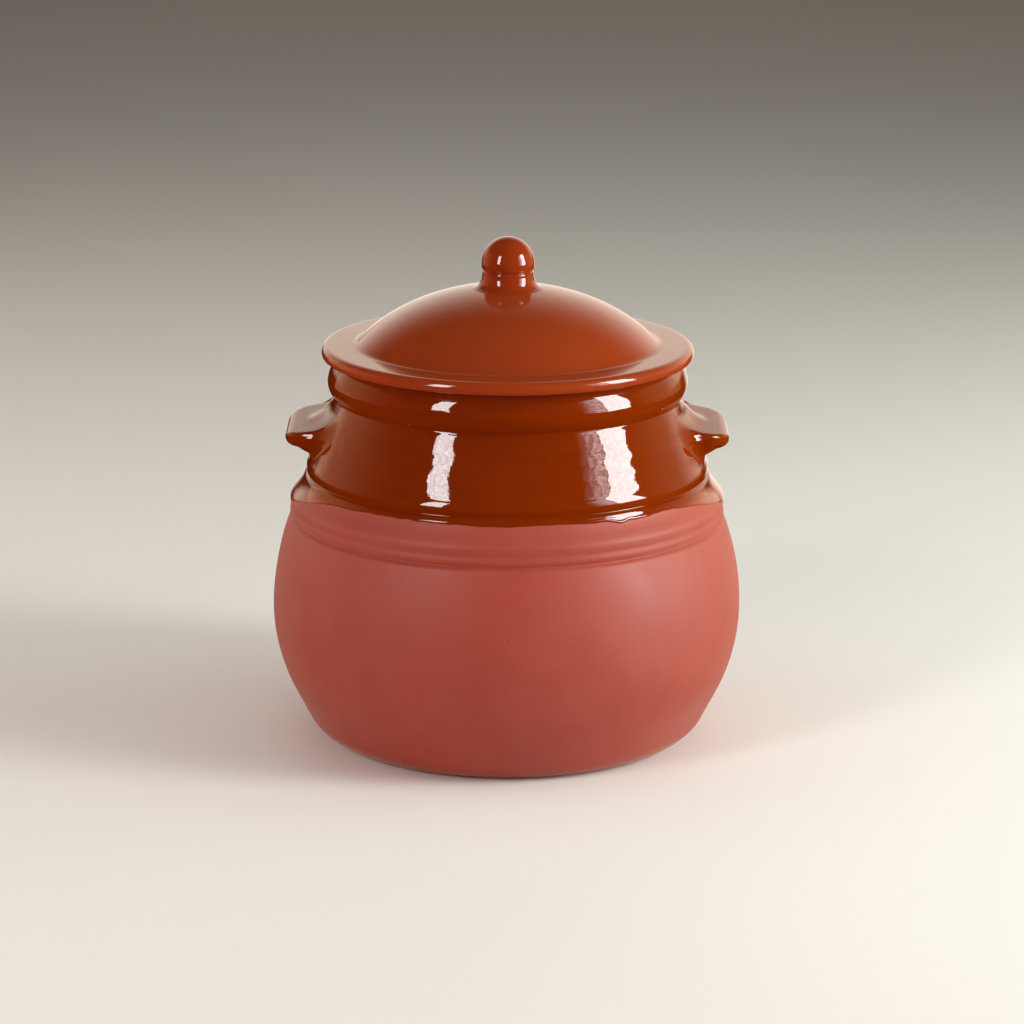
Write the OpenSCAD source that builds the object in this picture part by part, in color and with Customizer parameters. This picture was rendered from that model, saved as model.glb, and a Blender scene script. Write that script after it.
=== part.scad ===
// Covered terracotta stewpot: a round-bellied pot with two lugs, and a domed lid with a ball knob.
// Millimetres, +Z up. The origin is the centre of the base, on the surface the pot stands on.
// The lugs point along X.

/* [Belly] */
// Greatest diameter of the belly
belly_d = 260.5; // [256:0.5:266]
// Height of the greatest diameter above the base
belly_z = 72; // [66:1:76]
// Radius of the belly's curve below its greatest diameter
belly_low_r = 99; // [94:1:106]
// Slope of the straight flank that runs from that curve to the base, from the vertical
flank_a = 27.5; // [22:0.5:32]
// Radius of the belly's curve above its greatest diameter
belly_top_r = 140; // [134:1:150]
// Rounding of the edge where the belly meets the base
base_edge_r = 20; // [12:0.5:24]
// Thickness of the thrown wall
wall = 7.5; // [6:0.5:9]
// Thickness of the floor
floor_h = 9; // [8:0.5:12]

/* [Ridge and shoulder] */
// Height of the groove under the beaded ridge
ridge_groove_z = 123.5; // [122:0.5:125]
// Depth of the groove under the beaded ridge
ridge_groove_depth = 1.2; // [0.5:0.1:1.4]
// Radius of the beaded ridge
ridge_r = 120.5; // [119.5:0.5:122]
// Height of the crease where the shoulder meets the neck
crease_z = 148; // [147:0.5:150]
// Radius of the shoulder at the crease
shoulder_top_r = 111.8; // [111.4:0.2:112.6]

/* [Neck and rim] */
// Radius of the neck at its foot
neck_foot_r = 111; // [110:0.5:112]
// Radius of the groove between the neck and the rolled rim
neck_top_r = 94.7; // [93:0.5:97]
// Height of the groove between the neck and the rolled rim
neck_top_z = 190.2; // [189:0.2:192]
// Outer radius of the rolled rim
rim_r = 99; // [98:0.5:101]
// Height of the flat top of the rim, where the lid rests
rim_z = 212.6; // [211.6:0.2:214]
// Radius of the mouth
mouth_r = 88; // [87:0.5:89]

/* [Lugs] */
// Distance from the pot's axis to the end of a lug
lug_reach = 122.2; // [120:0.2:126]
// Width of a lug at its end
lug_w = 52; // [46:1:56]
// Width of a lug at its root
lug_root_w = 56; // [52:1:60]
// Height of a lug's top edge at its end
lug_top_z = 175.5; // [172:0.5:177]
// Thickness of a lug at its end
lug_h = 12.5; // [10:0.5:14]

/* [Lid] */
// Radius of the lid's brim
brim_r = 102; // [101:0.5:104]
// Thickness of the brim
brim_h = 6; // [5.4:0.2:7]
// Rise of the brim's top from its edge to the foot of the dome
brim_rise = 0.2; // [0:0.2:2]
// Radius of the dome's curve over its crown
crown_r = 132.5; // [128:0.5:140]
// Radius on plan where the dome's curve tightens towards the brim
crown_edge_r = 45; // [40:1:50]
// Radius of the dome's curve outside the crown
dome_side_r = 107; // [104:0.5:110]
// Height of the dome's top above the brim's underside
dome_h = 38.3; // [37.6:0.1:39.4]
// Thickness of the dome
lid_wall = 6; // [5:0.5:7]
// Gap between the lid's locating ring and the mouth
seat_gap = 2; // [1:0.25:3]
// Depth of the locating ring below the brim
seat_ring_h = 9; // [6:0.5:12]

/* [Knob] */
// Radius of the ball on top of the knob
knob_r = 14.6; // [13:0.1:15]
// Height of the ball's centre above the top of the dome
knob_rise = 12.6; // [12:0.1:13.4]

/* [Glaze] */
// Thickness of the glaze coat
glaze_t = 0.5; // [0.4:0.1:0.8]
// Height on the shoulder where the outer glaze ends
glaze_edge_z = 144.8; // [144:0.2:146]

/* [Hidden] */
$fn = 180;

clay = "#b5573f";
glaze = "#8a3a12";

belly_r = belly_d / 2;
low_c = [belly_r - belly_low_r, belly_z];
top_c = [belly_r - belly_top_r, belly_z];

// ---- Outline helpers. An outline is a list of [radius, height] points. ----

// Points along an arc of a circle, ends included
function arc(c, r, a0, a1, n) =
    [for (i = [0:n]) let (a = a0 + (a1 - a0) * i / n) c + r * [cos(a), sin(a)]];

// The list in the opposite order
function reversed(p) = [for (i = [len(p) - 1:-1:0]) p[i]];

function unit(v) = v / norm(v);

// Direction of an open outline at point i
function heading(p, i) = unit(p[min(i + 1, len(p) - 1)] - p[max(i - 1, 0)]);

// An open outline moved sideways by t, to the right of its direction
function moved(p, t) =
    [for (i = [0:len(p) - 1]) let (h = heading(p, i)) p[i] + t * [h[1], -h[0]]];

// A coat of thickness t on the right-hand side of an open outline
function coat(p, t) = concat(p, reversed(moved(p, t)));

// Outline of a bowl from its floor at height z to its greatest width, for wall offset t:
// a fillet of radius f on the floor, a straight flank, and the belly's lower curve
function bowl(t, f, z) =
    let (out = [cos(flank_a), -sin(flank_a)],
         down = [-sin(flank_a), -cos(flank_a)],
         flank_top = low_c + (belly_low_r - t) * out,
         run = (flank_top[1] - f * out[1] - f - z) / cos(flank_a))
    concat(arc(flank_top + run * down - f * out, f, -90, -flank_a, 6),
        arc(low_c, belly_low_r - t, -flank_a, 0, 8));

// Outline above the greatest width up to height z, for wall offset t
function upper_belly(t, z) =
    arc(top_c, belly_top_r - t, 2, asin((z - belly_z) / (belly_top_r - t)), 9);

// ---- Outside of the pot ----

groove_half = 2.2;
groove_r = top_c[0] + sqrt(pow(belly_top_r, 2) - pow(ridge_groove_z - belly_z, 2));

glaze_edge_r = shoulder_top_r + 1;

// Groove, bead, faint upper groove and shoulder, up to the glaze edge
ridge_and_shoulder = [
    [groove_r - ridge_groove_depth, ridge_groove_z],
    [ridge_r - 0.9, ridge_groove_z + 0.9],
    [ridge_r - 0.1, ridge_groove_z + 2.2],
    [ridge_r, ridge_groove_z + 3.5],
    [ridge_r - 0.4, ridge_groove_z + 5],
    [ridge_r - 0.5, ridge_groove_z + 6.1],
    [ridge_r - 0.2, ridge_groove_z + 7.5],
    [ridge_r - 0.1, ridge_groove_z + 9.1],
    [ridge_r - 0.3, ridge_groove_z + 10.5],
    [ridge_r - 1.1, ridge_groove_z + 12],
    [ridge_r - 2.5, ridge_groove_z + 13.8],
    [ridge_r - 4.3, ridge_groove_z + 15.9],
    [ridge_r - 6, ridge_groove_z + 18.2],
    [glaze_edge_r, glaze_edge_z]
];

neck_foot_z = crease_z + 8.5;
rim_apex_z = neck_top_z + 9.2;
rim_flat_r = 92;

// Shoulder top, crease, foot bead, neck and rolled rim, from the glaze edge to the rim's flat top
glazed_outside = concat(
    [[glaze_edge_r, glaze_edge_z],
     [shoulder_top_r, crease_z - 0.8],
     [neck_foot_r - 0.9, crease_z + 0.3],
     [neck_foot_r - 0.1, crease_z + 2.2],
     [neck_foot_r, crease_z + 4],
     [neck_foot_r - 0.6, crease_z + 6],
     [neck_foot_r - 2, neck_foot_z]],
    [for (i = [1:5]) let (s = i / 5)
        [neck_foot_r - 2 + (neck_top_r + 0.6 - neck_foot_r + 2) * s + 0.6 * sin(180 * s),
         neck_foot_z + (neck_top_z - 1 - neck_foot_z) * s]],
    [[neck_top_r, neck_top_z],
     [neck_top_r + 1.5, neck_top_z + 1.2],
     [neck_top_r + 2.9, neck_top_z + 3.4],
     [rim_r - 0.3, rim_apex_z - 2.8],
     [rim_r, rim_apex_z],
     [rim_r - 0.6, rim_apex_z + 3.2],
     [rim_r - 1.7, rim_apex_z + 6.4],
     [rim_r - 3.4, rim_z - 3.8],
     [rim_r - 5.1, rim_z - 1.4]]
);

pot_outside = concat(
    bowl(0, base_edge_r, 0),
    upper_belly(0, ridge_groove_z - groove_half),
    ridge_and_shoulder,
    [for (i = [1:len(glazed_outside) - 1]) glazed_outside[i]],
    [[rim_flat_r, rim_z]]
);

// ---- Inside of the pot ----

inner_fillet = 22;
mouth_edge = 2.5;
mouth_edge_c = [mouth_r + mouth_edge, rim_z - mouth_edge];

pot_inside = concat(
    [[0, floor_h]],
    bowl(wall, inner_fillet, floor_h),
    upper_belly(wall, ridge_groove_z + 2),
    [[shoulder_top_r - wall + 6.2, ridge_groove_z + 9],
     [shoulder_top_r - wall + 2.6, ridge_groove_z + 15],
     [shoulder_top_r - wall - 0.2, crease_z],
     [neck_foot_r - wall - 1.4, neck_foot_z - 1],
     [mouth_r + 1, neck_top_z - 3],
     [mouth_r, neck_top_z + 1],
     [mouth_r, rim_z - 6]]
);

module pot_body() {
    color(clay)
    rotate_extrude()
    polygon(concat(
        [[0, 0]],
        pot_outside,
        arc(mouth_edge_c, mouth_edge, 90, 180, 4),
        reversed(pot_inside)
    ));
}

// Solid block of the pot's outside, used to cut the lugs to the neck
module pot_envelope() {
    rotate_extrude()
    polygon(concat([[0, 0]], pot_outside, [[0, rim_z]]));
}

// ---- Lugs ----

lug_corner_r = 12;
lug_low_edge_r = 6;
lug_high_edge_r = 4;
lug_root_x = 97;
lug_root_r = 7;
lug_root_low_z = 157.5;
lug_root_high_z = 181;

// Round disc with rounded edges, standing on height z
module pebble(r, h, z) {
    low = lug_low_edge_r;
    high = lug_high_edge_r;
    translate([0, 0, z])
    rotate_extrude($fn = 32)
    polygon(concat(
        [[0, 0]],
        arc([r - low, low], low, -90, 0, 4),
        arc([r - high, h - high], high, 0, 90, 4),
        [[0, h]]
    ));
}

// One lug on the +X side, running into the neck
module lug_blank() {
    hull()
    for (side = [-1, 1]) {
        translate([lug_reach - lug_corner_r, side * (lug_w / 2 - lug_corner_r), 0])
            pebble(lug_corner_r, lug_h, lug_top_z - lug_h);
        translate([lug_root_x, side * (lug_root_w / 2 - lug_root_r), 0])
            pebble(lug_root_r, lug_root_high_z - lug_root_low_z, lug_root_low_z);
    }
}

module lug() {
    difference() {
        lug_blank();
        pot_envelope();
    }
}

module right_lug() {
    color(glaze) lug();
}

module left_lug() {
    color(glaze) mirror([1, 0, 0]) lug();
}

// ---- Glaze coats on the pot ----

module neck_glaze() {
    color(glaze)
    difference() {
        rotate_extrude() polygon(coat(glazed_outside, glaze_t));
        lug_blank();
        mirror([1, 0, 0]) lug_blank();
    }
}

module inner_glaze() {
    glazed_inside = concat(pot_inside, arc(mouth_edge_c, mouth_edge, 180, 150, 2));
    color(glaze)
    rotate_extrude()
    polygon(concat(
        glazed_inside,
        reversed([for (p = moved(glazed_inside, -glaze_t)) [max(p[0], 0), p[1]]])
    ));
}

// ---- Lid ----

brim_low_z = rim_z;
brim_top_z = brim_low_z + brim_h;
crown_c = [0, brim_low_z + dome_h - crown_r];
crown_edge_a = acos(crown_edge_r / crown_r);
side_c = crown_c + (crown_r - dome_side_r) * [cos(crown_edge_a), sin(crown_edge_a)];
dome_fillet = 5;
brim_top_edge_r = 3.2;
brim_low_edge_r = 2;
seat_ring_r = mouth_r - seat_gap;
seat_ring_w = 6.5;
knob_foot_r = 21.5;

// Where the concave fillet between the dome and the brim is centred
fillet_z = brim_top_z + brim_rise + dome_fillet;
fillet_c = [
    side_c[0] + sqrt(pow(dome_side_r + dome_fillet, 2) - pow(fillet_z - side_c[1], 2)),
    fillet_z
];
fillet_a = atan2(fillet_c[1] - side_c[1], fillet_c[0] - side_c[0]);
knob_foot_a = acos(knob_foot_r / crown_r);

// Top of the lid outside the knob, from the knob's foot down and round the brim's edge
lid_topside = concat(
    arc(crown_c, crown_r, knob_foot_a, crown_edge_a, 5),
    arc(side_c, dome_side_r, crown_edge_a - 3, fillet_a, 12),
    arc(fillet_c, dome_fillet, fillet_a + 180 + 12, 270, 4),
    arc([brim_r - brim_top_edge_r, brim_top_z - brim_top_edge_r], brim_top_edge_r, 90, 0, 5),
    arc([brim_r - brim_low_edge_r, brim_low_z + brim_low_edge_r], brim_low_edge_r, 0, -70, 4)
);

inner_side_r = dome_side_r - lid_wall;
ring_in_r = seat_ring_r - seat_ring_w;
ring_in_a = acos((ring_in_r - side_c[0]) / inner_side_r);
ring_low_z = brim_low_z - seat_ring_h;

module lid() {
    color(clay)
    rotate_extrude()
    polygon(concat(
        arc(crown_c, crown_r, 90, knob_foot_a + 2, 2),
        lid_topside,
        [[brim_r - brim_low_edge_r, brim_low_z],
         [seat_ring_r, brim_low_z],
         [seat_ring_r - 0.5, ring_low_z + 2]],
        arc([seat_ring_r - 2.5, ring_low_z + 2], 2, 0, -90, 4),
        arc([ring_in_r + 2, ring_low_z + 2], 2, -90, -180, 4),
        arc(side_c, inner_side_r, ring_in_a, crown_edge_a, 12),
        arc(crown_c, crown_r - lid_wall, crown_edge_a + 3, 90, 6)
    ));
}

// ---- Knob ----

ball_c = [0, brim_low_z + dome_h + knob_rise];
knob_stretch = 1.03;
groove_z = ball_c[1] - 3.3;
groove_knob_r = knob_r - 1.1;

// The ball's outline, a little taller than round above its greatest width
ball = [for (p = arc([0, 0], knob_r, -9, 90, 16)) ball_c + [p[0], p[1] * (p[1] > 0 ? knob_stretch : 1)]];

// Foot flaring out of the dome, collar, groove and ball
module lid_knob() {
    color(glaze)
    rotate_extrude()
    polygon(concat(
        arc(crown_c, crown_r, 90, knob_foot_a, 5),
        [crown_c + (crown_r + glaze_t) * [cos(knob_foot_a), sin(knob_foot_a)],
         [knob_foot_r - 2.2, groove_z - 10.1],
         [knob_foot_r - 4.3, groove_z - 9.1],
         [knob_r + 1, groove_z - 7.3],
         [knob_r, groove_z - 5],
         [knob_r - 0.4, groove_z - 2.7],
         [knob_r - 0.55, groove_z - 0.9],
         [groove_knob_r, groove_z]],
        ball
    ));
}

module lid_glaze() {
    color(glaze)
    rotate_extrude()
    polygon(concat(lid_topside, reversed(moved(lid_topside, -glaze_t))));
}

pot_body();
left_lug();
right_lug();
neck_glaze();
inner_glaze();
lid();
lid_knob();
lid_glaze();
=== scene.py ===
"""Looks of a covered terracotta stewpot: bare clay belly, glazed neck with two lugs, glazed domed lid.

Lengths are millimetres unless a name or comment says otherwise, and MM turns them into metres.
An outline is an array of (radius, height) points. Azimuth 0 faces the front (-Y) and 90 the right (+X).
"""

import math

import bpy
import numpy as np
from mathutils import Matrix, Vector


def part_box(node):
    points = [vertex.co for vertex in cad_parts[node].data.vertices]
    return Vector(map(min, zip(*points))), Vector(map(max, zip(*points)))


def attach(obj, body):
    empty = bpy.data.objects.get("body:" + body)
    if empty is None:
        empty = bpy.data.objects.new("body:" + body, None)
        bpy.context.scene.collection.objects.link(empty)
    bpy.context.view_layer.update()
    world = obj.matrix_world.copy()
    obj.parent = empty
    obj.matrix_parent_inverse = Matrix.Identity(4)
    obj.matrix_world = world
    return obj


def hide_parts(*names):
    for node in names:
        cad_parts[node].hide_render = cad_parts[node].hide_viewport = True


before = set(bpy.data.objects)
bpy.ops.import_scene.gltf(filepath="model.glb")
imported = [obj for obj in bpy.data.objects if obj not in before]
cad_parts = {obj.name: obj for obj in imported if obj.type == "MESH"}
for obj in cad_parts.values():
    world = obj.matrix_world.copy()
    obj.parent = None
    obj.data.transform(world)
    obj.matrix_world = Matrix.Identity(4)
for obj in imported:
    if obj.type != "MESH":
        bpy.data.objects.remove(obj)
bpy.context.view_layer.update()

MM = 0.001
SEGMENTS = 480

# ---- Driving sizes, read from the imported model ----


def top_corner(node):
    """Highest corner of a CAD node's box, in millimetres."""
    return np.array(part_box(node)[1]) / MM


BELLY_R = top_corner("pot_body")[0]
RIM_Z = top_corner("pot_body")[2]
BRIM_R = top_corner("lid_glaze")[0]
KNOB_TOP_Z = top_corner("lid_knob")[2]
DOME_TOP_Z = top_corner("lid")[2]
LUG_REACH = top_corner("right_lug")[0]

# ---- Outlines ----


def arc(centre, radius, start, end, step=1.0):
    """Points along an arc, angles in degrees, about step apart."""
    count = max(2, math.ceil(abs(math.radians(end - start)) * radius / step))
    angles = np.radians(np.linspace(start, end, count + 1))
    return np.array(centre) + radius * np.stack([np.cos(angles), np.sin(angles)], axis=1)


def spline(points, step=0.5):
    """Smooth curve through the points (centripetal Catmull-Rom), sampled about step apart."""
    p = np.array(points, float)
    p = np.vstack([2 * p[0] - p[1], p, 2 * p[-1] - p[-2]])
    made = []
    for i in range(1, len(p) - 2):
        p0, p1, p2, p3 = p[i - 1:i + 3]
        t1 = np.linalg.norm(p1 - p0) ** 0.5
        t2 = t1 + np.linalg.norm(p2 - p1) ** 0.5
        t3 = t2 + np.linalg.norm(p3 - p2) ** 0.5
        count = max(1, math.ceil(np.linalg.norm(p2 - p1) / step))
        for t in np.linspace(t1, t2, count, endpoint=False):
            a1 = (t1 - t) / t1 * p0 + t / t1 * p1
            a2 = (t2 - t) / (t2 - t1) * p1 + (t - t1) / (t2 - t1) * p2
            a3 = (t3 - t) / (t3 - t2) * p2 + (t - t2) / (t3 - t2) * p3
            b1 = (t2 - t) / t2 * a1 + t / t2 * a2
            b2 = (t3 - t) / (t3 - t1) * a2 + (t - t1) / (t3 - t1) * a3
            made.append((t2 - t) / (t2 - t1) * b1 + (t - t1) / (t2 - t1) * b2)
    return np.vstack([made, p[-2]])


def line(start, end, step=1.0):
    """Straight run of points, about step apart."""
    start, end = np.array(start, float), np.array(end, float)
    count = max(1, math.ceil(np.linalg.norm(end - start) / step))
    return start + (end - start) * np.linspace(0, 1, count + 1)[:, None]


def join(*runs):
    """One outline from runs that follow each other, with no point twice."""
    made = [np.array(runs[0], float)]
    for run in runs[1:]:
        run = np.array(run, float)
        near = np.linalg.norm(run[0] - made[-1][-1]) < 0.02
        made.append(run[1:] if near else run)
    return np.vstack(made)


def lengths(outline):
    """Distance of each point along the outline from its start."""
    return np.concatenate([[0], np.cumsum(np.linalg.norm(np.diff(outline, axis=0), axis=1))])


def resampled(outline, step):
    """The outline again with points step apart."""
    s = lengths(outline)
    at = np.linspace(0, s[-1], max(2, round(s[-1] / step)) + 1)
    return np.stack([np.interp(at, s, outline[:, k]) for k in (0, 1)], axis=1)


def softened(outline, sigma):
    """The outline with its corners rounded, as a fluid coat rounds them. Its points are evenly spaced."""
    step = lengths(outline)[-1] / (len(outline) - 1)
    reach = math.ceil(3 * sigma / step)
    weights = np.exp(-0.5 * (np.arange(-reach, reach + 1) * step / sigma) ** 2)
    weights /= weights.sum()
    ends = [2 * outline[0] - outline[reach:0:-1], outline, 2 * outline[-1] - outline[-2:-reach - 2:-1]]
    padded = np.vstack(ends)
    return np.stack([np.convolve(padded[:, k], weights, "valid") for k in (0, 1)], axis=1)


def normals(outline):
    """Unit normals on the outside of an outline that runs upwards along the outside of a pot."""
    heading = np.gradient(outline, axis=0)
    heading /= np.linalg.norm(heading, axis=1)[:, None]
    return np.stack([heading[:, 1], -heading[:, 0]], axis=1)


# ---- Pot outline ----

WALL = 7.5
BELLY_Z = 72
BELLY_LOW_R = 99
BELLY_TOP_R = 140
FLANK_A = 27.5
BASE_EDGE_R = 20
FLOOR_H = 9
INNER_FILLET = 22
GROOVE_Z = 123.5
CREASE_Z = 148
NECK_TOP_Z = 190.2
MOUTH_R = 88
MOUTH_EDGE = 2.5

low_c = np.array([BELLY_R - BELLY_LOW_R, BELLY_Z])
top_c = np.array([BELLY_R - BELLY_TOP_R, BELLY_Z])


def bowl(offset, fillet, floor_z):
    """From the floor to the greatest width: a fillet, a straight flank and the belly's lower curve."""
    a = math.radians(FLANK_A)
    out = np.array([math.cos(a), -math.sin(a)])
    down = np.array([-math.sin(a), -math.cos(a)])
    flank_top = low_c + (BELLY_LOW_R - offset) * out
    run = (flank_top[1] - fillet * out[1] - fillet - floor_z) / math.cos(a)
    edge = arc(flank_top + run * down - fillet * out, fillet, -90, -FLANK_A)
    belly = arc(low_c, BELLY_LOW_R - offset, -FLANK_A, 0)
    return join(edge, line(edge[-1], belly[0]), belly)


def upper_belly(offset, z):
    """From the greatest width up to height z."""
    radius = BELLY_TOP_R - offset
    return arc(top_c, radius, 0, math.degrees(math.asin((z - BELLY_Z) / radius)))


lower_belly = bowl(0, BASE_EDGE_R, 0)
belly = join(line((0, 0), lower_belly[0], 3), lower_belly, upper_belly(0, GROOVE_Z - 2))
ridge_and_shoulder = spline([
    belly[-1], (120.3, 122.5), (119.2, 123.4), (119.6, 124.4), (120.4, 125.7), (120.45, 127),
    (120.1, 128.5), (120, 129.6), (120.25, 131), (120.35, 132.6), (120.2, 134), (119.4, 135.5),
    (118, 137.3), (116.2, 139.4), (114.5, 141.7), (113, 144.3), (111.8, 147), (110.1, CREASE_Z + 0.2)])
foot_and_neck = spline([
    (110.1, CREASE_Z + 0.2), (110.8, 149.9), (111, 152), (110.5, 154), (109.1, 156.6), (106.4, 163),
    (103.7, 169.6), (100.9, 176.2), (98.1, 182.8), (95.7, 188.4)])
roll = spline([
    (95.7, 188.4), (94.8, 190.2), (95.9, 191.4), (97.6, 193.6), (98.7, 196.6), (99, 199.4), (98.4, 202.6),
    (97.3, 205.8), (95.6, 208.8), (93.9, 211.2), (92, RIM_Z)])
pot_outside = join(belly, ridge_and_shoulder, foot_and_neck, roll)

mouth = arc((MOUTH_R + MOUTH_EDGE, RIM_Z - MOUTH_EDGE), MOUTH_EDGE, 90, 180, 0.4)
inner_neck = spline([
    upper_belly(WALL, GROOVE_Z + 2)[-1], (110.5, 132.5), (106.9, 138.5), (104.1, CREASE_Z), (102.1, 155.5),
    (89.2, 186.8), (MOUTH_R, 191.5), (MOUTH_R, RIM_Z - 6), mouth[-1]], 2)
inner_bowl = bowl(WALL, INNER_FILLET, FLOOR_H)
pot_inside = join(
    line((0, FLOOR_H), inner_bowl[0], 3),
    resampled(join(inner_bowl, upper_belly(WALL, GROOVE_Z + 2)), 2.5), inner_neck)

# ---- Lid outline ----

KNOB_R = 14.6
KNOB_STRETCH = 1.03
FOOT_R = 21.5
GLAZE_T = 0.5
CROWN_R = 132.5
CROWN_EDGE_R = 45
DOME_SIDE_R = 107
LID_WALL = 6
BRIM_H = 6
BRIM_RISE = 0.2
BRIM_TOP_EDGE_R = 3.2
BRIM_LOW_EDGE_R = 2
DOME_FILLET = 5
RING_R = 86
RING_W = 6.5
RING_H = 9

crown_c = np.array([0, DOME_TOP_Z - CROWN_R])
crown_edge_a = math.degrees(math.acos(CROWN_EDGE_R / CROWN_R))
side_c = crown_c + (CROWN_R - DOME_SIDE_R) * np.array(
    [math.cos(math.radians(crown_edge_a)), math.sin(math.radians(crown_edge_a))])
brim_clay_r = BRIM_R - GLAZE_T
brim_top_z = RIM_Z + BRIM_H
fillet_z = brim_top_z + BRIM_RISE + DOME_FILLET
fillet_r = side_c[0] + math.sqrt((DOME_SIDE_R + DOME_FILLET) ** 2 - (fillet_z - side_c[1]) ** 2)
fillet_c = np.array([fillet_r, fillet_z])
fillet_a = math.degrees(math.atan2(*(fillet_c - side_c)[::-1]))
foot_a = math.degrees(math.acos(FOOT_R / CROWN_R))

dome = join(arc(crown_c, CROWN_R, 90, crown_edge_a), arc(side_c, DOME_SIDE_R, crown_edge_a, fillet_a))
fillet = arc(fillet_c, DOME_FILLET, fillet_a + 180, 270, 0.6)
brim_edge_c = np.array([brim_clay_r - BRIM_TOP_EDGE_R, brim_top_z - BRIM_TOP_EDGE_R])
brim_low_c = np.array([brim_clay_r - BRIM_LOW_EDGE_R, RIM_Z + BRIM_LOW_EDGE_R])
brim_edge = join(
    arc(brim_edge_c, BRIM_TOP_EDGE_R, 88, 0, 0.3),
    arc(brim_low_c, BRIM_LOW_EDGE_R, 0, -90, 0.3))
lid_top = join(dome, fillet, line(fillet[-1], brim_edge[0], 1), brim_edge)
ring_in_r = RING_R - RING_W
inner_side_r = DOME_SIDE_R - LID_WALL
ring_in_a = math.degrees(math.acos((ring_in_r - side_c[0]) / inner_side_r))
inner_dome = join(
    arc(side_c, inner_side_r, ring_in_a, crown_edge_a, 2.5),
    arc(crown_c, CROWN_R - LID_WALL, crown_edge_a, 90, 2.5))
lid_under = join(
    line(brim_edge[-1], (RING_R, RIM_Z), 1),
    spline([(RING_R, RIM_Z), (RING_R - 0.5, RIM_Z - RING_H + 2), (RING_R - 2.5, RIM_Z - RING_H),
            (ring_in_r + 2, RIM_Z - RING_H), (ring_in_r, RIM_Z - RING_H + 2)], 0.7),
    line((ring_in_r, RIM_Z - RING_H + 2), inner_dome[0], 1),
    inner_dome)

# ---- Hand-made unevenness ----


def waves(seed, count, around, pitch):
    """A smooth random field over (azimuth, height), about -1 to 1, made of seeded waves.

    around is the range of their number of turns round the pot, and pitch the range of their heights.
    """
    rng = np.random.default_rng(seed)
    turns = rng.integers(around[0], around[1] + 1, count)
    rates = 2 * np.pi / rng.uniform(pitch[0], pitch[1], count)
    phases = rng.uniform(0, 2 * np.pi, count)
    signs = rng.choice([-1, 1], count)

    def field(azimuth, z):
        total = 0
        for m, k, p, g in zip(turns, rates, phases, signs):
            total = total + np.cos(g * m * azimuth + k * z + p)
        return total / math.sqrt(count) * 0.8

    return field


AZIMUTH = np.arange(SEGMENTS) * 2 * np.pi / SEGMENTS
belly_waves = waves(11, 10, (1, 4), (40, 120))
neck_waves = waves(12, 26, (3, 16), (7, 18))
NECK_WAVE = 0.06
BELLY_WAVE = 0.12
BELLY_INSET = 1.7


def hand_offset(azimuth, z):
    """How far the thrown clay stands off its outline. BELLY_INSET keeps the belly inside its outline."""
    on_neck = np.clip((z - CREASE_Z - 2) / 6, 0, 1) * np.clip((RIM_Z - z) / 4, 0, 1)
    on_belly = np.clip((RIM_Z - z) / 20, 0, 1) * np.clip(z / 20, 0, 1)
    neck = NECK_WAVE * on_neck * neck_waves(azimuth, z)
    return neck + BELLY_WAVE * on_belly * (belly_waves(azimuth, z) - BELLY_INSET)


# ---- Mesh building ----


def turned(outline, azimuth=AZIMUTH, offset=None):
    """Rings of points from an outline turned round the Z axis, moved outwards by offset(azimuth, z)."""
    r = np.repeat(outline[:, :1], len(azimuth), axis=1)
    z = np.repeat(outline[:, 1:], len(azimuth), axis=1)
    if offset is not None:
        r = r + offset(azimuth[None, :], z)
    return np.stack([r * np.sin(azimuth), -r * np.cos(azimuth), z], axis=2)


def mesh_object(name, rings, body, node, material, closed=False, poles=(False, False)):
    """A smooth mesh from rings of points.

    Rings that run anticlockwise seen from above face outwards where they follow each other upwards.
    closed joins the last ring to the first. poles says whether the first and last rings close in a point.
    """
    rows, around = rings.shape[:2]
    verts = rings.reshape(-1, 3) * MM
    pairs = [(i, i + 1) for i in range(rows - 1)] + ([(rows - 1, 0)] if closed else [])
    j = np.arange(around)
    k = (j + 1) % around
    corners = [(a * around + j, a * around + k, b * around + k, b * around + j) for a, b in pairs]
    faces = np.vstack([np.stack(four, axis=1) for four in corners]).tolist()
    for at_end, row in zip(poles, (0, rows - 1)):
        if at_end:
            centre = verts[row * around:(row + 1) * around].mean(axis=0)
            verts = np.vstack([verts, centre])
            tip = len(verts) - 1
            fan = np.stack([row * around + k, row * around + j, np.full(around, tip)], axis=1)
            faces += (fan if row == 0 else fan[:, ::-1]).tolist()
    mesh = bpy.data.meshes.new(name)
    mesh.from_pydata(verts.tolist(), [], faces)
    mesh.polygons.foreach_set("use_smooth", [True] * len(mesh.polygons))
    mesh.materials.append(material)
    mesh.update()
    piece = bpy.data.objects.new(name, mesh)
    bpy.context.scene.collection.objects.link(piece)
    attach(piece, body)
    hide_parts(node)
    return piece


# ---- Materials ----


def srgb(r, g, b):
    """Linear colour with alpha from 0-255 display values."""
    made = [v / 255 for v in (r, g, b)]
    return [v / 12.92 if v <= 0.04045 else ((v + 0.055) / 1.055) ** 2.4 for v in made] + [1.0]


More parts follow.
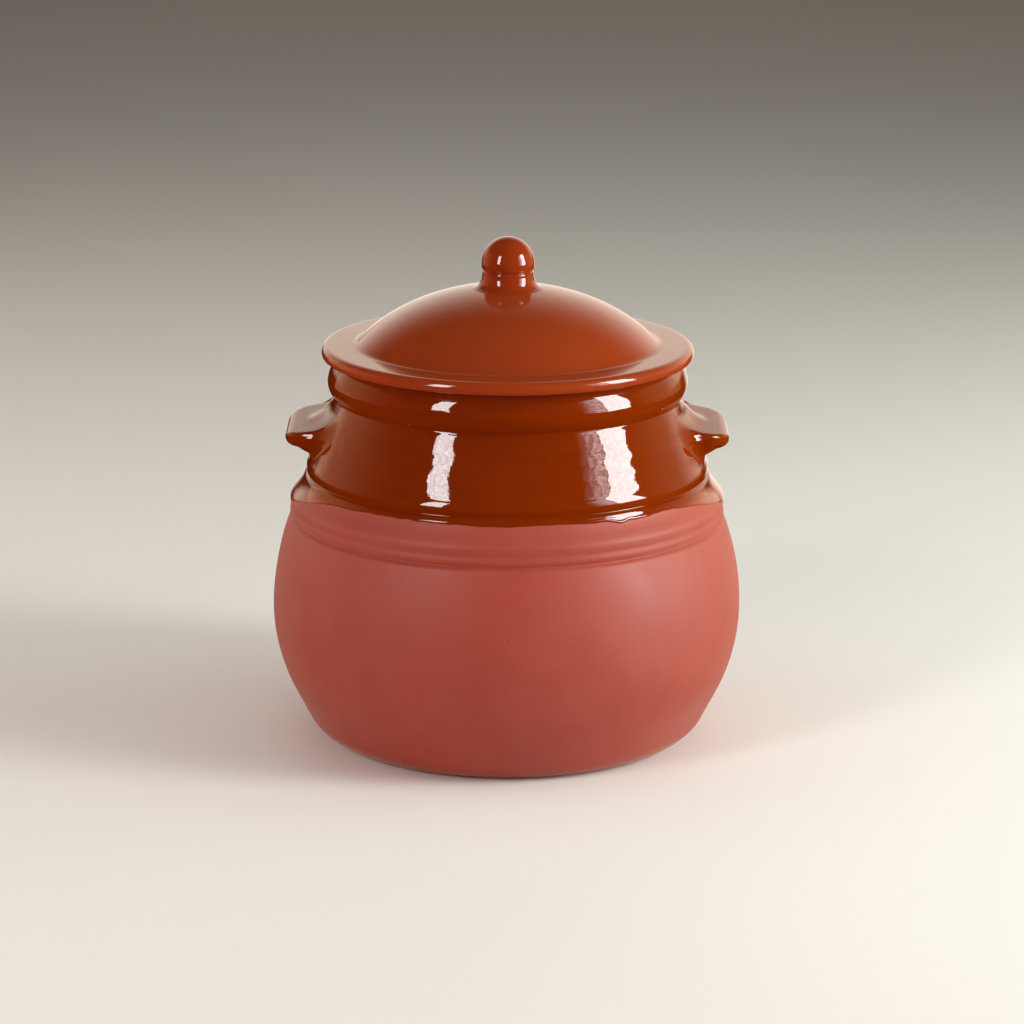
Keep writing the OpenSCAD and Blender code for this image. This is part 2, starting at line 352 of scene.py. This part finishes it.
class Nodes:
    """Builds a shader node tree with short calls."""

    def __init__(self, tree):
        self.tree = tree
        self.shader = next(node for node in tree.nodes if node.bl_idname in SHADERS)
        self.position = self.add("ShaderNodeTexCoord").outputs["Object"]

    def add(self, kind, inputs=(), **settings):
        node = self.tree.nodes.new(kind)
        for key, value in settings.items():
            setattr(node, key, value)
        for key, value in dict(inputs).items():
            self.set(node, key, value)
        return node

    def set(self, node, key, value):
        if isinstance(value, bpy.types.NodeSocket):
            self.tree.links.new(value, node.inputs[key])
        else:
            node.inputs[key].default_value = value

    def stretched(self, scale):
        return self.add("ShaderNodeMapping", {"Vector": self.position, "Scale": scale}).outputs["Vector"]

    def noise(self, scale, detail=3.0, roughness=0.5, vector=None):
        inputs = {"Scale": scale, "Detail": detail, "Roughness": roughness}
        inputs["Vector"] = vector or self.position
        return self.add("ShaderNodeTexNoise", inputs).outputs["Fac"]

    def dots(self, scale, size):
        """1 inside small scattered dots of radius size (in cell units) and 0 outside."""
        inputs = {"Vector": self.position, "Scale": scale, "Randomness": 1.0}
        cells = self.add("ShaderNodeTexVoronoi", inputs, feature="F1")
        near = self.ramp(cells.outputs["Distance"], (size * 0.4, size), (1, 0))
        chance = self.add("ShaderNodeSeparateColor", {"Color": cells.outputs["Color"]}).outputs[0]
        return self.math("MULTIPLY", near, self.ramp(chance, (0.25, 0.3), (1, 0)))

    def ramp(self, value, span, to=(0, 1)):
        inputs = {"Value": value, "From Min": span[0], "From Max": span[1]}
        inputs.update({"To Min": to[0], "To Max": to[1]})
        return self.add("ShaderNodeMapRange", inputs, interpolation_type="SMOOTHSTEP").outputs["Result"]

    def math(self, operation, a, b):
        return self.add("ShaderNodeMath", {0: a, 1: b}, operation=operation).outputs["Value"]

    def mix(self, factor, a, b):
        node = self.add("ShaderNodeMix", {"Factor": factor}, data_type="RGBA")
        self.set(node, 6, a)
        self.set(node, 7, b)
        return node.outputs[2]

    def bump(self, height, distance, normal=None):
        inputs = {"Height": height, "Distance": distance * MM, "Strength": 1.0}
        if normal is not None:
            inputs["Normal"] = normal
        return self.add("ShaderNodeBump", inputs).outputs["Normal"]


SHADERS = ("ShaderNodeBsdfPrincipled", "ShaderNodeBackground", "ShaderNodeEmission")


def new_material(name):
    """An empty material and the builder of its nodes."""
    material = bpy.data.materials.new(name)
    material.use_nodes = True
    return material, Nodes(material.node_tree)


def clay_material():
    """Bare matte terracotta: pinkish red, faintly mottled, with a fine grain, wiping lines, and pits
    darkened with painted shade.
    """
    material, n = new_material("bare_terracotta")
    cloud = n.ramp(n.noise(9, 3), (0.35, 0.65))
    blotch = n.ramp(n.noise(38, 4, 0.6), (0.3, 0.7))
    grain = n.noise(1500, 2, 0.6)
    lines = n.noise(30, 3, 0.55, n.stretched((1, 1, 22)))
    pits = n.dots(70, 0.045)
    base = n.mix(cloud, srgb(160, 63, 42), srgb(155, 61, 46))
    base = n.mix(n.math("MULTIPLY", blotch, 0.3), base, srgb(166, 74, 54))
    base = n.mix(n.ramp(grain, (0.35, 0.75), (0.0, 0.22)), base, srgb(130, 46, 32))
    # The dark colour in the pits is painted shade.
    base = n.mix(pits, base, srgb(96, 40, 30))
    n.set(n.shader, "Base Color", base)
    n.set(n.shader, "Roughness", n.ramp(blotch, (0, 1), (0.5, 0.58)))
    n.set(n.shader, "Specular IOR Level", 0.55)
    n.set(n.shader, "Sheen Weight", 0.34)
    n.set(n.shader, "Sheen Roughness", 0.4)
    n.set(n.shader, "Sheen Tint", srgb(255, 222, 208))
    normal = n.bump(grain, 0.05)
    normal = n.bump(lines, 0.05, normal)
    normal = n.bump(pits, -0.4, normal)
    n.set(n.shader, "Normal", normal)
    return material


def glaze_material(name, deep, thin, coat_roughness, streak, edge_z=None):
    """Clear brown glaze over red clay: glossy, with faint streaks, specks and pinholes.

    Below edge_z, beside the lugs, it thins out and the clay's colour shows through it.
    """
    material, n = new_material(name)
    pool = n.ramp(n.noise(14, 3), (0.3, 0.7))
    rings = n.ramp(n.noise(22, 3, 0.5, n.stretched((1, 1, 9))), (0.3, 0.7))
    specks = n.dots(120, 0.07)
    holes = n.dots(55, 0.035)
    fine = n.noise(700, 2, 0.5)
    base = n.mix(n.math("MULTIPLY", pool, 0.5), deep, thin)
    base = n.mix(n.math("MULTIPLY", rings, streak), base, thin)
    base = n.mix(n.math("MULTIPLY", specks, 0.45), base, srgb(70, 20, 4))
    base = n.mix(holes, base, srgb(200, 150, 120))
    if edge_z:
        at = n.add("ShaderNodeSeparateXYZ", {0: n.position}).outputs
        low = n.ramp(at["Z"], ((edge_z - 1) * MM, (edge_z - 10) * MM))
        aside = n.ramp(n.math("ABSOLUTE", at["X"], 0), (60 * MM, 105 * MM))
        base = n.mix(n.math("MULTIPLY", low, aside), base, srgb(146, 66, 44))
    n.set(n.shader, "Base Color", base)
    n.set(n.shader, "Roughness", 0.35)
    n.set(n.shader, "Coat Weight", 1.0)
    n.set(n.shader, "Coat Roughness", coat_roughness)
    n.set(n.shader, "Coat IOR", 1.62)
    n.set(n.shader, "Specular IOR Level", 0.0)
    normal = n.bump(fine, 0.006)
    normal = n.bump(n.noise(170, 3), 0.035, normal)
    normal = n.bump(n.noise(45, 3, 0.5, n.stretched((1, 1, 3))), 0.08, normal)
    normal = n.bump(holes, -0.25, normal)
    n.set(n.shader, "Normal", normal)
    n.set(n.shader, "Coat Normal", normal)
    return material


clay = clay_material()
pot_glaze = glaze_material("honey_brown_glaze", srgb(109, 34, 1), srgb(124, 44, 4), 0.03, 0.3, CREASE_Z)
# The lid's own red-brown glaze, made somewhat lighter as painted light falling from above on the lid.
lid_glaze = glaze_material("lid_red_brown_glaze_and_painted_top_light", srgb(140, 53, 20), srgb(147, 58, 24), 0.09, 0.15)
# The knob has the lid's glaze; this darker copy of it is painted shade on the knob.
knob_shaded_glaze = glaze_material("knob_red_brown_glaze_painted_shade", srgb(132, 45, 12), srgb(139, 50, 16), 0.06, 0.15)

# ---- Pot ----


def hollow_pot():
    """The thrown clay pot, one closed skin from the centre of its foot to the centre of its floor."""
    outline = join(pot_outside[1:], line(pot_outside[-1], mouth[0], 1), mouth, pot_inside[::-1][:-1])
    rings = turned(outline, offset=lambda a, z: 0)
    outside = len(pot_outside) - 1
    rings[:outside] = turned(pot_outside[1:], offset=hand_offset)
    return mesh_object("pot_clay", rings, "pot", "pot_body", clay, poles=(True, True))


GLAZE_EDGE_Z = 144.4
GLAZE_RUN_DOWN = 11.5
GLAZE_SEARCH_Z = 130.9
GLAZE_TOP_Z = 212.1
GLAZE_SINK = 0.3
GLAZE_SLACK = 0.06
EDGE_ROUNDING = 1.1
EDGE_ROWS = np.array([0, 0.05, 0.15, 0.3, 0.5, 0.75, 1.05, 1.4])
BEAD_H = 0.22
BEAD_AT = 0.9
BEAD_W = 0.8
WORN_SHARE = 0.6
WORN_H = 9
# Azimuth in degrees, depth, and half width in degrees of each drip
DRIPS = ((32, 2.3, 3.0), (39, 1.5, 5.0), (205, 2.0, 4.0), (141, 1.4, 3.0))


def glaze_edge_z(azimuth):
    """Height of the glaze's lower edge: it wanders, drips, and runs down below each lug."""
    slow = waves(21, 12, (5, 24), (50, 90))(azimuth, 0)
    quick = waves(22, 14, (30, 90), (50, 90))(azimuth, 0)
    drips = 0
    for at, depth, width in DRIPS:
        away = (np.degrees(azimuth) - at + 180) % 360 - 180
        drips = drips + depth * np.exp(-(away / width) ** 2)
    run_down = GLAZE_RUN_DOWN * np.abs(np.sin(azimuth)) ** 10
    return GLAZE_EDGE_Z + (slow * 0.35 + quick * 0.16) - run_down - drips


def neck_coat():
    """The glaze skin on the shoulder's top, neck and rim, with a rounded wavy lower edge.

    A small bead runs along that edge, and the skin thins out where it runs down beside the lugs.
    """
    clay_line = resampled(pot_outside, 0.4)
    s = lengths(clay_line)
    coat_line = softened(clay_line, 0.7)
    out = normals(coat_line)
    z_rises = (clay_line[:, 1] > GLAZE_SEARCH_Z) & (clay_line[:, 1] < CREASE_Z)
    s_edge = np.interp(glaze_edge_z(AZIMUTH), clay_line[z_rises, 1], s[z_rises])
    s_fixed = np.interp(CREASE_Z - 1, clay_line[z_rises, 1], s[z_rises])
    s_end = np.interp(GLAZE_TOP_Z, clay_line[z_rises.argmax():, 1], s[z_rises.argmax():])
    lip = EDGE_ROWS[-1]
    rows = [s_edge + d for d in EDGE_ROWS]
    rows += [s_edge + lip + (s_fixed - s_edge - lip) * f for f in np.linspace(0, 1, 25)[1:]]
    rows += [np.full(SEGMENTS, v) for v in np.arange(s_fixed + 0.5, s_end, 0.5)]
    rows += [np.full(SEGMENTS, s_end - 0.6 + 0.6 * f) for f in (0.35, 0.7, 0.9, 1.0)]
    rows = np.array(rows)
    from_ends = np.minimum(rows - s_edge, (s_end - rows) * 1.2)
    rise = np.sqrt(np.clip(1 - (1 - np.clip(from_ends / EDGE_ROUNDING, 0, 1)) ** 2, 0, 1))
    beside_lugs = np.abs(np.sin(AZIMUTH)) ** 6
    bead = BEAD_H * np.exp(-((rows - s_edge - BEAD_AT) / BEAD_W) ** 2) * (1 - beside_lugs)
    worn = 1 - WORN_SHARE * beside_lugs * np.clip(1 - (rows - s_edge) / WORN_H, 0, 1)
    thick = np.where(from_ends <= 0, -0.05, (GLAZE_T - GLAZE_SLACK) * rise * worn + bead * rise)
    inner = np.full_like(rows, -GLAZE_SINK)
    picks = np.concatenate([np.arange(0, len(rows), 6), [len(rows) - 1]])
    s_all = np.vstack([rows, rows[picks][::-1]])
    t_all = np.vstack([thick, inner[picks][::-1]])
    r = np.interp(s_all, s, coat_line[:, 0]) + np.interp(s_all, s, out[:, 0]) * t_all
    z = np.interp(s_all, s, coat_line[:, 1]) + np.interp(s_all, s, out[:, 1]) * t_all
    r = r + hand_offset(AZIMUTH[None, :], z)
    rings = np.stack([r * np.sin(AZIMUTH), -r * np.cos(AZIMUTH), z], axis=2)
    return mesh_object("neck_coat", rings, "pot", "neck_glaze", pot_glaze, closed=True)


def inner_coat():
    """The glaze skin on the inside of the pot, up to the mouth."""
    face = join(pot_inside[1:], mouth[::-1][1:])
    into = normals(face) * -1
    taper = np.clip((RIM_Z - 0.1 - face[:, 1]) / 1.2, 0, 1) ** 0.5
    front = face + into * (GLAZE_T - 0.1) * taper[:, None]
    front[:, 0] = np.maximum(front[:, 0], 0.05)
    back = (face - into * 0.25)[::-1]
    rings = turned(np.vstack([front, back]))
    return mesh_object(
        "inner_coat", rings[:, ::-1], "pot", "inner_glaze", pot_glaze, poles=(True, True))


# ---- Lugs ----

LUG_TOP_Z = 175.1
LUG_LOW_Z = 163.9
LUG_HALF_W = 26.2
LUG_CORNER_R = 16
LUG_TOP_EDGE = 2
LUG_LOW_EDGE = 8.5
LUG_ROOT_X = 100
LUG_TILT = 0.085
LUG_DROOP = 0.5
LUG_RISE = 0.18
NOSE_TOP = (9, 5.6)
NOSE_LOW = (7, 4.4)
LUG_POINTS_CORNER = 14
LUG_POINTS_SIDE = 14
LUG_ROOT_WIDER = 1.5
LUG_ROOT_HIGHER = 1.2
LUG_SINK = 4
# Fillet lengths above, below and beside the lug, along the wall and along the lug
FILLET_ON_WALL = (10, 1.2, 14)
FILLET_ON_LUG = (9, 1.2, 8)


def neck_radius(z):
    """Outer radius of the glazed neck at height z."""
    part = pot_outside[(pot_outside[:, 1] > CREASE_Z + 4) & (pot_outside[:, 1] < NECK_TOP_Z)]
    return np.interp(z, part[:, 1], part[:, 0]) + GLAZE_T * 0.9


def section(half_w, low, high, low_edge, high_edge):
    """Rounded rectangle of (y, z) points with its outward normals, always the same number of points."""
    low_edge = min(low_edge, half_w * 0.98, (high - low) * 0.75)
    high_edge = min(high_edge, half_w * 0.98, (high - low) * 0.24)
    high_y, high_z = half_w - high_edge, high - high_edge
    low_y, low_z = half_w - low_edge, low + low_edge
    corners = [((high_y, high_z), high_edge, 0), ((-high_y, high_z), high_edge, 90),
               ((-low_y, low_z), low_edge, 180), ((low_y, low_z), low_edge, 270)]
    points = []
    for i, (centre, radius, start) in enumerate(corners):
        a = np.radians(np.linspace(start, start + 90, LUG_POINTS_CORNER))
        turn = np.stack([np.cos(a), np.sin(a)], axis=1)
        points.append(np.array(centre) + radius * turn)
        after = corners[(i + 1) % 4]
        b = math.radians(after[2])
        start_next = np.array(after[0]) + after[1] * np.array([math.cos(b), math.sin(b)])
        gap = np.linspace(0, 1, LUG_POINTS_SIDE + 2)[1:-1, None]
        points.append(points[-1][-1] + (start_next - points[-1][-1]) * gap)
    p = np.vstack(points)
    ahead = np.roll(p, -1, axis=0) - np.roll(p, 1, axis=0)
    n = np.stack([ahead[:, 1], -ahead[:, 0]], axis=1)
    return p, n / np.linalg.norm(n, axis=1)[:, None]


def shaped(p, x):
    """Section points at x, leaned like the hand-pressed lug.

    Its top rises towards the back and the wall, and its underside droops towards the wall.
    """
    share = np.clip((p[:, 1] - LUG_LOW_Z) / (LUG_TOP_Z - LUG_LOW_Z), 0, 1)
    inwards = np.clip(LUG_REACH - NOSE_LOW[0] - x, 0, 16)
    lift = share * (LUG_TILT * p[:, 0] + LUG_RISE * inwards) - (1 - share) * LUG_DROOP * inwards
    return np.column_stack([p[:, 0], p[:, 1] + lift])


def wall_x(p, side, sink=0.0):
    """How far out along X the neck's uneven surface is at section points (y, z) on one side."""
    azimuth = side * np.arccos(-p[:, 0] / neck_radius(p[:, 1]))
    radius = neck_radius(p[:, 1]) + hand_offset(azimuth, p[:, 1]) - sink
    return np.sqrt(np.maximum(radius ** 2 - p[:, 0] ** 2, 1))


def lug(name, side, node):
    """One stub lug, smeared into the neck with concave fillets and rounded at its end."""
    square, n = section(
        LUG_HALF_W + LUG_ROOT_WIDER, LUG_LOW_Z, LUG_TOP_Z + LUG_ROOT_HIGHER, LUG_LOW_EDGE, LUG_TOP_EDGE)
    root = shaped(square, LUG_ROOT_X)
    up, down, aside = np.clip(n[:, 1], 0, 1) ** 2, np.clip(-n[:, 1], 0, 1) ** 2, n[:, 0] ** 2
    aside = aside * np.clip(1 + 1.2 * n[:, 1], 0, 1)
    along_wall, along_lug = (
        above * up + below * down + beside * aside
        for above, below, beside in (FILLET_ON_WALL, FILLET_ON_LUG))
    spread = root + n * along_wall[:, None]
    start = np.column_stack([wall_x(spread, side, 0.03), spread])
    step = root - spread
    wall_slope = neck_radius(spread[:, 1] + 0.5) - neck_radius(spread[:, 1] - 0.5)
    outwards = neck_radius(spread[:, 1]) * wall_slope * step[:, 1] - spread[:, 0] * step[:, 0]
    corner = np.column_stack([start[:, 0] + outwards / start[:, 0], root])
    end_x = corner[:, 0] + along_lug
    flank_x = float(end_x.max()) + 0.2
    body, _ = section(LUG_HALF_W, LUG_LOW_Z, LUG_TOP_Z, LUG_LOW_EDGE, LUG_TOP_EDGE)
    end = np.column_stack([end_x, shaped(body, end_x)])
    rings = [np.column_stack([wall_x(spread, side, LUG_SINK), spread])]
    for t in np.linspace(0, 1, 17):
        rings.append((1 - t) ** 2 * start + 2 * t * (1 - t) * corner + t * t * end)
    for a in np.radians(np.linspace(0, 90, 37)[1:]):
        x = LUG_REACH - LUG_CORNER_R + LUG_CORNER_R * math.sin(a)
        if x <= flank_x:
            continue
        half_w = LUG_HALF_W - LUG_CORNER_R * (1 - math.cos(a))
        high = LUG_TOP_Z - round_off(x, NOSE_TOP)
        low = LUG_LOW_Z + round_off(x, NOSE_LOW)
        p, _ = section(half_w, low, high, LUG_LOW_EDGE, LUG_TOP_EDGE)
        rings.append(np.column_stack([np.full(len(p), x), shaped(p, x)]))
    last = rings[-1]
    middle = last.mean(axis=0)
    for f in (0.75, 0.5, 0.25):
        rings.append(middle + (last - middle) * f)
    rings = np.array(rings)
    rings[:, :, 0] *= side
    if side < 0:
        rings = rings[:, ::-1]
    return mesh_object(name, rings, "pot", node, pot_glaze, poles=(True, True))


def round_off(x, nose):
    """How much the lug's rounded nose (its length and depth) has fallen away at x."""
    into = np.clip((x - (LUG_REACH - nose[0])) / nose[0], 0, 1)
    return nose[1] * (1 - math.sqrt(1 - into ** 2))


# ---- Lid ----


def lid_body():
    """The lid's clay: brim, dome, hollow underside and locating ring."""
    outline = join(lid_top[1:], lid_under)[:-1]
    rings = turned(outline)[:, ::-1]
    return mesh_object("lid_clay", rings, "lid", "lid", clay, poles=(True, True))


def lid_coat():
    """The glaze skin over the dome and brim, wrapped round the brim's edge."""
    line_from = lid_top[:, 0] > FOOT_R - 3
    coat_line = softened(resampled(lid_top[line_from], 0.4), 0.6)[::-1]
    s = lengths(coat_line)
    from_end = np.minimum(s, s[-1] - s + 0.3)
    thick = GLAZE_T * np.sqrt(np.clip(1 - (1 - np.clip(from_end / 1.2, 0, 1)) ** 2, 0, 1))
    front = coat_line + normals(coat_line) * thick[:, None]
    back = (coat_line - normals(coat_line) * 0.3)[::-2]
    rings = turned(np.vstack([front, back]))
    return mesh_object("lid_coat", rings, "lid", "lid_glaze", lid_glaze, closed=True)


def knob():
    """The ball knob with its groove, collar and flared foot."""
    ball_z = KNOB_TOP_Z - KNOB_R * KNOB_STRETCH
    groove_z = ball_z - 3.3
    skirt = arc(crown_c, CROWN_R + GLAZE_T * 0.8, foot_a - 1, foot_a, 0.5)
    neck = spline([
        *skirt, (FOOT_R - 2.2, groove_z - 10.1), (FOOT_R - 4.3, groove_z - 9.1),
        (KNOB_R + 1, groove_z - 7.3), (KNOB_R, groove_z - 5), (KNOB_R - 0.4, groove_z - 2.7),
        (KNOB_R - 0.55, groove_z - 0.9), (KNOB_R - 1.1, groove_z), (KNOB_R - 0.6, groove_z + 0.6)], 0.25)
    ball = arc((0, 0), KNOB_R, -9, 90, 0.5)
    ball[:, 1] = ball_z + ball[:, 1] * np.where(ball[:, 1] > 0, KNOB_STRETCH, 1)
    base = arc(crown_c, CROWN_R, 90, foot_a - 1, 2)
    outline = join(base[1:], neck, ball)[:-1]
    return mesh_object(
        "knob", turned(outline), "lid", "lid_knob", knob_shaded_glaze, poles=(True, True))


hollow_pot()
neck_coat()
inner_coat()
lug("right_lug_glazed", 1, "right_lug")
lug("left_lug_glazed", -1, "left_lug")
lid_body()
lid_coat()
knob()

# ---- Floor, camera and light (metres from here on) ----

FLOOR_SIZE = 14


def floor():
    """A plain pale matte floor."""
    material, n = new_material("pale_floor")
    n.set(n.shader, "Base Color", n.mix(n.noise(2, 2), srgb(232, 228, 222), srgb(237, 233, 227)))
    n.set(n.shader, "Roughness", 0.75)
    mesh = bpy.data.meshes.new("floor")
    h = FLOOR_SIZE / 2
    mesh.from_pydata([(-h, -h, 0), (h, -h, 0), (h, h, 0), (-h, h, 0)], [], [(0, 1, 2, 3)])
    mesh.materials.append(material)
    made = bpy.data.objects.new("floor", mesh)
    made.visible_glossy = False
    bpy.context.scene.collection.objects.link(made)


CAMERA_AIM = Vector((0, 0, 0.1253))
CAMERA_DISTANCE = 2.1
CAMERA_PITCH = math.radians(14.6)
CAMERA_ROLL = math.radians(0.25)
CAMERA_LENS_MM = 132.67


def camera():
    """Seen from the front, a little above, from two metres away."""
    data = bpy.data.cameras.new("camera")
    data.lens = CAMERA_LENS_MM
    data.sensor_width = 36
    data.shift_x = 0.0049
    data.shift_y = -0.0039
    made = bpy.data.objects.new("camera", data)
    back = Vector((0, -math.cos(CAMERA_PITCH), math.sin(CAMERA_PITCH)))
    made.location = CAMERA_AIM + back * CAMERA_DISTANCE
    upright = (-back).to_track_quat("-Z", "Y").to_matrix()
    made.rotation_euler = (upright @ Matrix.Rotation(CAMERA_ROLL, 3, "Z")).to_euler()
    bpy.context.scene.collection.objects.link(made)
    bpy.context.scene.camera = made


WHITE = srgb(255, 255, 255)
WARM_WALL = srgb(255, 196, 150)
WARM_BOUNCE = srgb(255, 130, 80)
COOL_DAYLIGHT = srgb(230, 255, 246)


def softbox(name, azimuth, distance, width, low_z, high_z, radiance,
            soft_edge=0.0, seen=True, dim=0.75, tint=WHITE):
    """An upright area light facing the pot, azimuth 0 at the front, its cloth a little uneven.

    soft_edge is the share of the width over which it fades in. It fades in from the side with the
    smaller azimuth, or from the other side if negative. dim is how dark its folds are.
    One that isn't seen lights the pot but makes no reflection.
    """
    a = math.radians(azimuth)
    data = bpy.data.lights.new(name, "AREA")
    data.shape = "RECTANGLE"
    data.size = width
    data.size_y = high_z - low_z
    data.energy = radiance * math.pi * width * (high_z - low_z)
    data.use_nodes = True
    n = Nodes(data.node_tree)
    across = n.add("ShaderNodeNewGeometry").outputs["Parametric"]
    folds = n.add("ShaderNodeMapping", {0: across, "Scale": (1, 4, 1)}).outputs[0]
    cloth = n.ramp(n.noise(5, 3, 0.6, folds), (0.35, 0.65), (dim, 1))
    if soft_edge:
        u = n.add("ShaderNodeSeparateXYZ", {0: across}).outputs["X"]
        fade = (0, soft_edge) if soft_edge > 0 else (1, 1 + soft_edge)
        cloth = n.math("MULTIPLY", cloth, n.ramp(u, fade))
    n.set(n.shader, "Strength", cloth)
    n.set(n.shader, "Color", tint)
    made = bpy.data.objects.new(name, data)
    made.location = (distance * math.sin(a), -distance * math.cos(a), (low_z + high_z) / 2)
    made.rotation_euler = Vector((-math.sin(a), math.cos(a), 0)).to_track_quat("-Z", "Y").to_euler()
    made.visible_camera = False
    made.visible_glossy = seen
    bpy.context.scene.collection.objects.link(made)


CEILING_SIZE = 1.6
CEILING_RADIANCE = 0.9


def ceiling():
    """A soft light from above that makes no reflection."""
    data = bpy.data.lights.new("ceiling", "AREA")
    data.size = CEILING_SIZE
    data.energy = CEILING_RADIANCE * math.pi * CEILING_SIZE ** 2
    made = bpy.data.objects.new("ceiling", data)
    made.location = (0, 0, CEILING_SIZE)
    made.visible_camera = False
    made.visible_glossy = False
    bpy.context.scene.collection.objects.link(made)


BACKDROP_AZIMUTH = 175
BACKDROP_RADIANCE = 1.35
BACKDROP_DARK = 0.02
BACKDROP_COLOUR = srgb(255, 241, 221)


def surroundings():
    """A bright backdrop behind the pot that fades upwards and to the sides, in a dark room."""
    world = bpy.data.worlds.new("studio")
    world.use_nodes = True
    bpy.context.scene.world = world
    n = Nodes(world.node_tree)
    direction = n.add("ShaderNodeTexCoord").outputs["Generated"]
    a = math.radians(BACKDROP_AZIMUTH)
    towards = (math.sin(a), -math.cos(a), 0)
    behind = n.add("ShaderNodeVectorMath", {0: direction, 1: towards}, operation="DOT_PRODUCT")
    height = n.add("ShaderNodeSeparateXYZ", {0: direction}).outputs["Z"]
    across = n.ramp(behind.outputs["Value"], (0.5, 0.95), (BACKDROP_DARK, 1))
    fade = n.ramp(height, (0.1, 1.0), (1, BACKDROP_DARK))
    above = n.ramp(height, (-0.04, 0.1))
    upper = n.math("MULTIPLY", n.math("MULTIPLY", across, fade), above)
    straight_behind = n.ramp(behind.outputs["Value"], (0.92, 0.98))
    strength = n.math("MAXIMUM", upper, straight_behind)
    n.set(n.shader, "Strength", n.math("MULTIPLY", strength, BACKDROP_RADIANCE))
    n.set(n.shader, "Color", BACKDROP_COLOUR)


floor()
camera()
softbox("left_window", -41.5, 1.5, 0.32, 0.38, 1.35, 14, dim=0.6)
softbox("right_window", 72, 1.5, 0.48, 0.2, 1.3, 16)
softbox("right_curtain", 54, 1.5, 0.44, 0.2, 1.2, 7, soft_edge=1, dim=0.25)
softbox("left_fill", -100, 1.4, 1.3, 0.0, 0.8, 2.3, seen=False)
softbox("right_fill", 95, 1.4, 1.3, 0.0, 0.8, 5.6, seen=False, tint=COOL_DAYLIGHT)
softbox("front_bounce", -10, 1.2, 1.2, 0.0, 0.25, 3.4, seen=False, tint=WARM_BOUNCE)
softbox("right_wall", 112, 1.4, 1.5, 0.0, 0.9, 0.55, soft_edge=0.5, tint=WARM_WALL)
softbox("left_wall", -104, 1.4, 1.9, 0.0, 0.9, 0.85, soft_edge=-0.9, tint=WARM_WALL)
ceiling()
surroundings()
bpy.context.scene.view_settings.view_transform = "Standard"
